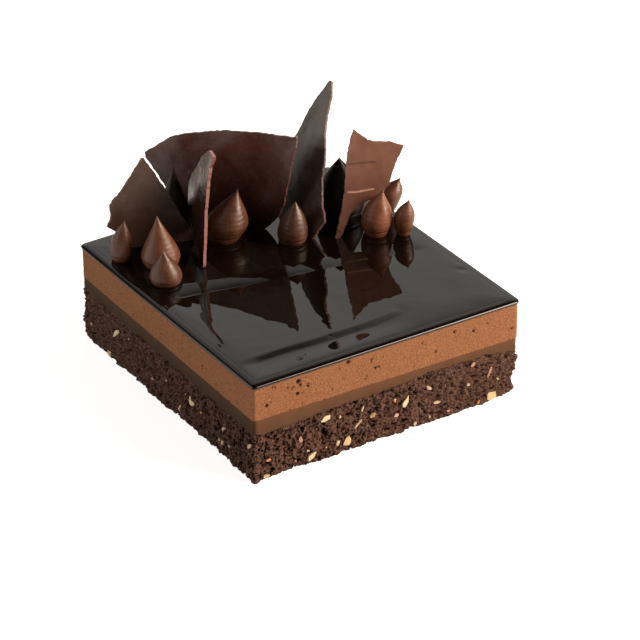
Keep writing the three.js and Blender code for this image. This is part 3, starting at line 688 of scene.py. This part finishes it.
def kiss_finish(name, sheen):
    """Piped ganache: satin, with a fine grain at 0.9 mm where cocoa butter set on its skin, mixed towards
    near black by each kiss's painted shade.
    """
    material, tree, shader = start_finish(name, {"IOR": 1.5, "Specular IOR Level": sheen})
    where = add(tree, "ShaderNodeTexCoord").outputs["Object"]
    cloud = pattern(tree, where, 5, 2.0)
    milky = blend(tree, cloud, "#5a331e", "#804c30")
    # Painted shade: the kisses in the shade of the shards are mixed towards near black.
    feed(tree, shader, {"Base Color": blend(tree, stored(tree, "kiss_shade"), milky, "#120a05"),
                        "Roughness": ranged(tree, cloud, 0.35, 0.65, 0.34, 0.54),
                        "Normal": bumps(tree, pattern(tree, where, 0.9, 4.0), 0.8, 0.1)})
    return material


ganache = kiss_finish("piped_ganache", 0.5)
shaded_ganache = kiss_finish("piped_ganache_in_shade", 0.25)   # near black and duller: painted shade for the two that stand behind the shards
for number, (*shape, kiss_shade) in enumerate(KISSES, 1):
    piped = ring_stack(f"piped_kiss_{number}", kiss_rings(*shape, number))
    # Each kiss's painted shade, kept per point for the ganache's colour.
    store(piped, "kiss_shade", np.full(KISS_AROUND * KISS_UP, kiss_shade))
    dress(piped, shaded_ganache if kiss_shade > 0.9 else ganache, "ganache", f"kiss_{number}")

# ---------------------------------------------------------------- chocolate shards
# Dark chocolate spread thin on a curved sheet, set and snapped by hand, then
# pushed into the glaze. The snapped edges are painted paler than the faces, a
# painted highlight where they catch the light.

SHARD_THICKNESS, UNEVEN = 1.5, 0.12      # mm, and the share by which it varies
SHARD_CELLS = (90, 110)
RIPPLES = ((0.3, 14.0, 5), (0.05, 3.0, 8))   # height, length, seed
RAGGED_RIM = 0.28                        # how far the snapped edges stray
WORN_EDGE, CREASE_ANGLE = 0.18, math.radians(50)
CRACK_WIDTH, CRACK_DEPTH = 0.4, 0.12
GLAZE_SHADE_REACH = 40.0                        # how far up the painted shade by the glaze reaches

# Each shard is outlined by four edges in its own plane, in pairs of [along, up]
# from the point where it stands. turn is the heading of its "along" axis, lean
# tips its top back, bow is the sagitta per mm squared about bow_at, tones are the
# colours of the face by the glaze (painted shade), of the face in two tones and of
# the snapped edge (painted highlight), satin its least and greatest roughness and
# its sheen, and cracks are hairlines from point to point. The tones differ from
# shard to shard as painted light and shade: lighter on the shards that face the
# soft box and on those that mirror the bright room, darker on those in shade.
SHARDS = (
    dict(stands_at=(-47.7, 61.8), turn=-19, lean=6, bow=-0.0012, bow_at=0,
         bottom=((-7, -1), (22, -1)),
         right=((22, -1), (22.4, 3.7), (8.5, 30.6), (-1, 47)),
         top=((-2, 47), (-1, 47)),
         left=((-7, -1), (-16.6, 9.3), (-21.2, 12.7), (-19.1, 16.4), (-19.4, 23), (-18, 26), (-13.4, 30.5),
               (-2, 47)),
         tones=("#3a261c", "#49352b", "#533d33", "#6b4a3c"), satin=(0.24, 0.38, 0.45), cracks=()),
    dict(stands_at=(-1.1, 61.5), turn=-56, lean=5, bow=0.0018, bow_at=0,
         bottom=((-23, -1), (18, -1)),
         right=((18, -1), (23.6, 4.4), (27.5, 9.4), (30.3, 16.3), (33.2, 32), (34.2, 40.5), (36.3, 48.3),
                (36.3, 55)),
         top=((-46.5, 30.7), (-41.7, 34.3), (-33.5, 40.9), (-28.3, 43.1), (-15, 46.7), (-3.8, 49.3),
              (16, 51.9), (33.3, 53.3), (36.3, 55)),
         left=((-23, -1), (-35.8, 14.7), (-45.4, 27.6), (-46.5, 30.7)),
         tones=("#1c0b06", "#4c2a20", "#5a382e", "#5c382e"), satin=(0.2, 0.34, 0.6), cracks=()),
    dict(stands_at=(-36.4, 28.6), turn=-109.7, lean=9, bow=0.0008, bow_at=0,
         bottom=((-2.4, -1), (1.6, -1)),
         right=((1.6, -1), (2.1, 1.7), (-3.8, 12.8), (-10.7, 26.2), (-13, 38.8), (-13, 47.8), (-9.8, 55.3)),
         top=((-25.6, 49.6), (-19.1, 54.4), (-9.8, 55.3)),
         left=((-2.4, -1), (-10.9, 3.5), (-19.2, 7.6), (-30.8, 9.4), (-39.5, 13.7), (-44, 21.2),
               (-43.7, 25.5), (-41.5, 30.6), (-34.7, 38.2), (-31, 44.4), (-25.6, 49.6)),
         tones=("#1a0e0a", "#3c261f", "#4a3028", "#9a6a62"), satin=(0.2, 0.36, 0.6), cracks=()),
    dict(stands_at=(23, 24.4), turn=-72.7, lean=26, bow=-0.004, bow_at=0,
         bottom=((-14, -1), (1.2, -1)),
         right=((1.2, -1), (6.3, 11.3), (1.7, 18.7), (-3.1, 31.6), (-4.5, 40), (-9, 52.3), (-11.2, 62.1),
                (-12, 70.9), (-14.4, 78.1)),
         top=((-16, 78.6), (-14.4, 78.1)),
         left=((-14, -1), (-20, 1.7), (-24.7, 5.6), (-27.5, 11.1), (-28.7, 18.2), (-29.2, 26.5),
               (-28.8, 34.6), (-28.6, 44.2), (-26.5, 51.1), (-24.2, 60.8), (-20.6, 69.6), (-16, 78.6)),
         tones=("#080503", "#281a14", "#33231c", "#5e3b33"), satin=(0.24, 0.36, 0.8), cracks=()),
    dict(stands_at=(34.5, 17.6), turn=-11.7, lean=12, bow=0.002, bow_at=10,
         bottom=((-1, -1), (1.4, -1)),
         right=((1.4, -1), (4.7, 4.3), (8.7, 11.8), (12.5, 14.9), (17.4, 16.7), (24.4, 17.6), (29.7, 23.6),
                (31.8, 29.3), (35.1, 36.3), (38.8, 42.4)),
         top=((14, 54.4), (16.9, 51.6), (20.9, 47.9), (24.6, 46.6), (32, 45.6), (38.8, 42.4)),
         left=((-1, -1), (3.9, 12.9), (6.7, 24), (8.1, 35.5), (9.6, 43), (12.2, 50.9), (14, 54.4)),
         tones=("#4e2a18", "#5e3826", "#704a38", "#84504a"), satin=(0.35, 0.55, 0.4),
         cracks=((8, 23, 14.7, 22.4, 1), (14.7, 22.4, 21.5, 22.3, 1), (8.9, 37.7, 24.2, 36.2, -0.7),
                 (1, 4.9, 3, 3.4, -1))),
)


def along_edge(edge, share):
    """Points at shares of the length of a polyline."""
    corners = np.array(edge, float)
    passed = np.concatenate([[0], np.cumsum(np.hypot(*np.diff(corners, axis=0).T))])
    return np.stack([np.interp(share * passed[-1], passed, corners[:, k]) for k in (0, 1)], -1)


def hairline(x, z, x0, z0, x1, z1, tone):
    """A crack from one point of the sheet to another: tone times a bell of the distance to the segment."""
    run = (x1 - x0, z1 - z0)
    share = np.clip(((x - x0) * run[0] + (z - z0) * run[1]) / (run[0] ** 2 + run[1] ** 2), 0, 1)
    away = np.hypot(x - x0 - share * run[0], z - z0 - share * run[1] - 0.3 * noise(x / 4, 0 * z, 3))
    return tone * np.exp(-(away / CRACK_WIDTH) ** 2)


def shard_sheet(shard, seed):
    """The two faces of a shard as an array (2, up, across, 3), and how cracked each point is: above 0
    for a crack drawn pale as a painted highlight, below for one drawn dark as painted shade. Its plane is a
    patch
    stretched between four edges: the blend of top and bottom plus the blend of left and right, less the blend
    of the corners. The sheet is bowed by a square, rippled a little, given its thickness, leaned and turned."""
    across, up = SHARD_CELLS
    u, v = np.linspace(0, 1, across + 1), np.linspace(0, 1, up + 1)
    bottom, top = along_edge(shard["bottom"], u)[None], along_edge(shard["top"], u)[None]
    left, right = along_edge(shard["left"], v)[:, None], along_edge(shard["right"], v)[:, None]
    u, v = u[None, :, None], v[:, None, None]
    low, high = (edge[:, :1] * (1 - u) + edge[:, -1:] * u for edge in (bottom, top))
    flat = low * (1 - v) + high * v
    plane = bottom * (1 - v) + top * v + left * (1 - u) + right * u - flat
    rim = np.maximum(np.abs(2 * u - 1), np.abs(2 * v - 1))[..., 0] ** 8
    ragged = np.stack([noise(plane[..., 0] / s, plane[..., 1] / s, seed) for s in (1.3, 1.7)], -1)
    plane = plane + RAGGED_RIM * rim[..., None] * ragged
    x, z = plane[..., 0], plane[..., 1]
    ripple = sum(high * noise(x / size, z / size, seed + k) for high, size, k in RIPPLES)
    depth = ripple - shard["bow"] * ((x - shard["bow_at"]) ** 2 - shard["bow_at"] ** 2)
    crack = sum(hairline(x, z, *line) for line in shard["cracks"]) + 0 * x
    depth = depth - CRACK_DEPTH * np.abs(crack)
    half = SHARD_THICKNESS / 2 * (1 - UNEVEN * noise(x / 9, z / 9, seed + 12))
    faces = np.stack([depth - half, depth + half])
    lean, turn = math.radians(shard["lean"]), math.radians(shard["turn"])
    back = faces * math.cos(lean) + z * math.sin(lean)
    height = z * math.cos(lean) - faces * math.sin(lean)
    away = shard["stands_at"]
    world_x = away[0] + x * math.cos(turn) - back * math.sin(turn)
    world_y = away[1] + x * math.sin(turn) + back * math.cos(turn)
    return np.stack([world_x, world_y, GLAZE_TOP + height], -1), np.stack([crack, crack])


def shard_piece(name, sheet, crack):
    """Joins a shard's two faces along their rim into one closed mesh."""
    up, across = sheet.shape[1:3]
    half = up * across
    j, i = np.mgrid[0:up - 1, 0:across - 1]
    cell = (j * across + i).reshape(-1, 1)
    front = cell + np.array([0, 1, across + 1, across])
    back = cell + half + np.array([0, across, across + 1, 1])
    grid = np.arange(half).reshape(up, across)
    rim = np.concatenate([grid[0, :-1], grid[:-1, -1], grid[-1, :0:-1], grid[:0:-1, 0]])
    following = np.roll(rim, -1)
    wall = np.stack([rim, rim + half, following + half, following], -1)
    piece = mesh_piece(name, sheet.reshape(-1, 3), [front, back, wall])
    piece.data.set_sharp_from_angle(angle=CREASE_ANGLE)
    edge = np.zeros(2 * half)
    edge[np.concatenate([rim, rim + half])] = 1
    store(piece, "snapped", edge)
    store(piece, "crack", crack)
    worn = piece.modifiers.new("worn_edge", "BEVEL")
    worn.width = WORN_EDGE * MM
    worn.segments = 2
    worn.limit_method = "ANGLE"
    worn.angle_limit = CREASE_ANGLE
    return piece


def shard_finish(name, tones, satin):
    """Set chocolate: satin, bloomed in faint clouds at 8 mm, darker towards the glaze as painted shade, paler
    along the snapped edges and along some cracks as painted highlight and darker along others as painted
    shade, with smears at 6 mm from the spatula."""
    material, tree, shader = start_finish(name, {"IOR": 1.5, "Specular IOR Level": satin[2]})
    where = add(tree, "ShaderNodeTexCoord").outputs["Object"]
    smear = pattern(tree, where, 6, 2.0)
    bloom = ranged(tree, pattern(tree, where, 8, 2.0), 0.3, 0.72)
    height = add(tree, "ShaderNodeSeparateXYZ", (), {0: where}).outputs[2]
    # Painted shade: the faces darken towards the glaze, where less light reaches them.
    glaze_shade = ranged(tree, height, (GLAZE_TOP + GLAZE_SHADE_REACH) * MM, GLAZE_TOP * MM)
    face = blend(tree, glaze_shade, blend(tree, bloom, tones[1], tones[2]), tones[0])
    # Painted highlight: the snapped edges are paler where they catch the light.
    edge_highlighted = blend(tree, stored(tree, "snapped"), face, tones[3])
    crack = stored(tree, "crack")
    # Painted highlight along the pale cracks, and painted shade along the dark ones below.
    highlighted_face = blend(tree, crack, edge_highlighted, "#b08a76")
    feed(tree, shader, {"Base Color": blend(tree, ranged(tree, crack, 0.0, -1.0), highlighted_face, "#1c0b07"),
                        "Roughness": ranged(tree, smear, 0.3, 0.7, satin[0], satin[1]),
                        "Normal": bumps(tree, smear, 0.25, 0.12)})
    return material


# Each shard gets its own copy of the chocolate, its tones lighter or darker as painted light and shade.
for number, shard in enumerate(SHARDS, 1):
    snapped = shard_piece(f"snapped_shard_{number}", *shard_sheet(shard, 10 * number))
    chocolate = shard_finish(f"chocolate_with_painted_light_{number}", shard["tones"], shard["satin"])
    dress(snapped, chocolate, "chocolate", f"shard_{number}")

# ---------------------------------------------------------------- table, light and camera
# A plain white table in a pale studio: a large warm soft box to the right, a fainter
# window to the left, and behind the cake a bright panel that the glaze mirrors.
# The camera sees the table and the room white, but they light the cake less.

TABLE_HALF = 2500.0
table = mesh_piece("white_table", np.array([[-1, -1, 0], [1, -1, 0], [1, 1, 0], [-1, 1, 0]]) * TABLE_HALF,
                   [np.array([[0, 1, 2, 3]])])
TABLE_GLOW = (0.35, 0.8)                 # as light on the cake, and as the camera sees it
table_paint, tree, shader = start_finish("white_table_top", {
    "Base Color": (0.85, 0.85, 0.85, 1), "Roughness": 0.9, "Emission Color": (1, 1, 1, 1)})
seen = add(tree, "ShaderNodeLightPath").outputs["Is Camera Ray"]
feed(tree, shader, {"Emission Strength": ranged(tree, seen, 0.0, 1.0, *TABLE_GLOW)})
table.data.materials.append(table_paint)

AIM = np.array([0.0, 0.0, 25.0])         # mm, the point that the camera looks towards
AZIMUTH, ELEVATION = math.radians(-32.68), math.radians(29.86)
CAMERA_DISTANCE = 1590.0
CAMERA_ASIDE, CAMERA_UP = 11.47, -0.05   # mm, the cake stands a little left of the frame's middle
LENS, SENSOR = 180.0, 36.0

SOFT_BOX_AT = np.array([940.0, -810.0, 700.0])
SOFT_BOX_SIZE, SOFT_BOX_POWER = 0.9, 42.0
SOFT_BOX_COLOUR = (1.0, 0.82, 0.68)
WINDOW_AT = np.array([-800.0, 340.0, 430.0])
WINDOW_SIZE, WINDOW_POWER = 0.9, 3.5
WINDOW_COLOUR = (1.0, 0.9, 0.78)
PANEL_ELEVATION = math.radians(33)       # of the bright panel's middle, opposite the camera
PANEL_REACH = (math.radians(17), math.radians(30))   # full this far from its middle, gone this far
PANEL_LEVEL, ROOM_WALLS = 0.86, 0.16
PANEL_FADE, PANEL_TOP = (0.48, 0.6), 0.68   # sines of the elevations where it fades, and to what share
OVERHEAD, ROOM_HIGH = (0.66, 0.77), 0.14   # the same for where panel and walls end overhead


def turned_to(direction):
    """The turn that points an object's -Z along a direction with its +Y kept upright."""
    back = -direction / np.linalg.norm(direction)
    right = np.cross([0, 0, 1], back)
    right /= np.linalg.norm(right)
    return np.stack([right, np.cross(back, right), back], 1)


def place(item, at, direction):
    """Links a camera or light, sets it at a point in mm and turns it to look along a direction."""
    bpy.context.scene.collection.objects.link(item)
    matrix = np.eye(4)
    matrix[:3, :3] = turned_to(direction)
    matrix[:3, 3] = at * MM
    item.matrix_world = Matrix(matrix.tolist())
    return item


for name, at, size, power, colour in (
        ("soft_box", SOFT_BOX_AT, SOFT_BOX_SIZE, SOFT_BOX_POWER, SOFT_BOX_COLOUR),
        ("window", WINDOW_AT, WINDOW_SIZE, WINDOW_POWER, WINDOW_COLOUR)):
    lamp = bpy.data.lights.new(name, "AREA")
    lamp.size, lamp.energy, lamp.color = size, power, colour
    place(bpy.data.objects.new(name, lamp), at, AIM - at)

room = bpy.data.worlds.new("pale_room")
room.use_nodes = True
bpy.context.scene.world = room
tree = room.node_tree
sky = add(tree, "ShaderNodeTexCoord").outputs["Generated"]
height = add(tree, "ShaderNodeSeparateXYZ", (), {0: sky}).outputs[2]
overhead = add(tree, "ShaderNodeMapRange", {
    "interpolation_type": "SMOOTHSTEP", "From Min": OVERHEAD[0], "From Max": OVERHEAD[1],
    "To Max": ROOM_HIGH}, {"Value": height, "To Min": ranged(tree, height, *PANEL_FADE, 1.0, PANEL_TOP)})
panel_at = (-math.sin(AZIMUTH) * math.cos(PANEL_ELEVATION), math.cos(AZIMUTH) * math.cos(PANEL_ELEVATION),
            math.sin(PANEL_ELEVATION))
near = add(tree, "ShaderNodeVectorMath", {"operation": "DOT_PRODUCT", 1: panel_at}, {0: sky})
panel = add(tree, "ShaderNodeMapRange", {
    "interpolation_type": "SMOOTHSTEP", "From Min": math.cos(PANEL_REACH[1]),
    "From Max": math.cos(PANEL_REACH[0]), "To Min": ROOM_WALLS, "To Max": PANEL_LEVEL}, {
        "Value": near.outputs["Value"]})
seen = add(tree, "ShaderNodeLightPath").outputs["Is Camera Ray"]
level = add(tree, "ShaderNodeMath", {"operation": "MULTIPLY"}, {0: overhead.outputs[0], 1: panel.outputs[0]})
shown = add(tree, "ShaderNodeMath", {"operation": "MAXIMUM"}, {0: level.outputs[0], 1: seen})
tree.links.new(shown.outputs[0], tree.nodes["Background"].inputs["Strength"])
tree.nodes["Background"].inputs["Color"].default_value = (1, 0.97, 0.91, 1)

back = np.array([math.sin(AZIMUTH) * math.cos(ELEVATION), -math.cos(AZIMUTH) * math.cos(ELEVATION),
                 math.sin(ELEVATION)])
right = np.array([math.cos(AZIMUTH), math.sin(AZIMUTH), 0])
eye = AIM + back * CAMERA_DISTANCE + right * CAMERA_ASIDE + np.cross(back, right) * CAMERA_UP
lens = bpy.data.cameras.new("photo_camera")
lens.lens, lens.sensor_width = LENS, SENSOR
camera = place(bpy.data.objects.new("photo_camera", lens), eye, -back)
bpy.context.scene.camera = camera
bpy.context.scene.view_settings.view_transform = "Standard"
